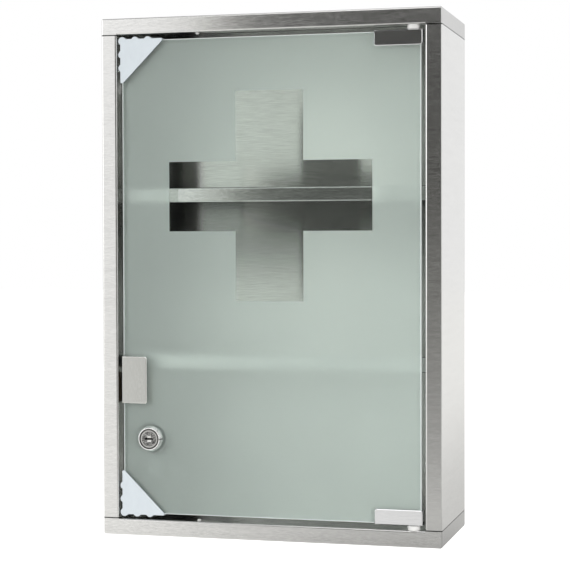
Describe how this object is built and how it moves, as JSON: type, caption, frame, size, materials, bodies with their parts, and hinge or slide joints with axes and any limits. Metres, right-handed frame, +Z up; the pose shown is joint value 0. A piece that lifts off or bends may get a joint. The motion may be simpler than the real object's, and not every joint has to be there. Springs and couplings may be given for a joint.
{
  "type": "medicine cabinet",
  "caption": "Wall cabinet in brushed stainless steel with a frosted glass door that shows a clear cross, a cam lock, pivot hinges and shelves.",
  "frame": {"origin": "middle of the footprint on the underside: half way across, and half way between the lock's face and the wall face", "axes": "+Z up, -Y out of the front through the door, +X to the viewer's right, +Y into the wall"},
  "size_m": [0.3, 0.122, 0.45],
  "materials": {
    "carcass_steel": "brushed along the sheet",
    "inner_steel": "brushed from side to side, more mirror-like than the outside",
    "door_glass": "clear, polished, with a green edge",
    "frosting": "fine frosted coat",
    "clamp_steel": "satin with polished bevels",
    "pin_steel": "plain bright steel",
    "bush_nylon": "white nylon",
    "pad_rubber": "soft black",
    "guard_plastic": "milky white moulding",
    "catch_plastic": "brown moulding",
    "magnet_ferrite": "dull ferrite",
    "lock_chrome": "polished chrome plating",
    "plug_metal": "plated, with a fine granular face",
    "cam_steel": "zinc-plated"
  },
  "bodies": {
    "cabinet": {"top_cap": "carcass_steel", "bottom_cap": "carcass_steel", "left_side_panel": "carcass_steel", "right_side_panel": "carcass_steel", "back_panel": "inner_steel", "upper_shelf": "inner_steel", "lower_shelf": "inner_steel", "upper_shelf_rests": "inner_steel", "lower_shelf_rests": "inner_steel", "upper_pivot_bush": "bush_nylon", "lower_pivot_bush": "bush_nylon", "lip_buffers": "bush_nylon", "catch_bracket": "inner_steel", "catch_housing": "catch_plastic", "catch_poles": "pin_steel", "catch_magnet": "magnet_ferrite", "catch_screws": "pin_steel"},
    "door": {"door_glass": "door_glass", "frosted_coat": "frosting", "upper_hinge_clamp": "clamp_steel", "lower_hinge_clamp": "clamp_steel", "upper_hinge_pin": "pin_steel", "lower_hinge_pin": "pin_steel", "hinge_liners": "pad_rubber", "hinge_pads": "pad_rubber", "hinge_screws": "pin_steel", "handle_clip": "clamp_steel", "handle_liner": "pad_rubber", "handle_pad": "pad_rubber", "handle_screws": "pin_steel", "lock_housing": "lock_chrome", "lock_gaskets": "pad_rubber", "lock_nut": "lock_chrome", "upper_corner_guard": "guard_plastic", "lower_corner_guard": "guard_plastic"},
    "lock_plug": {"lock_cylinder": "plug_metal", "lock_cam": "cam_steel", "cam_screw": "pin_steel"}
  },
  "joints": [
    {"name": "door_hinge", "type": "hinge", "parent": "cabinet", "child": "door", "pos_m": [0.1255, -0.054, 0.225], "axis": [0, 0, 1], "range_deg": [0, 120]},
    {"name": "lock_turn", "type": "hinge", "parent": "door", "child": "lock_plug", "pos_m": [-0.107, -0.056, 0.0847], "axis": [0, 1, 0], "range_deg": [0, 90]}
  ]
}
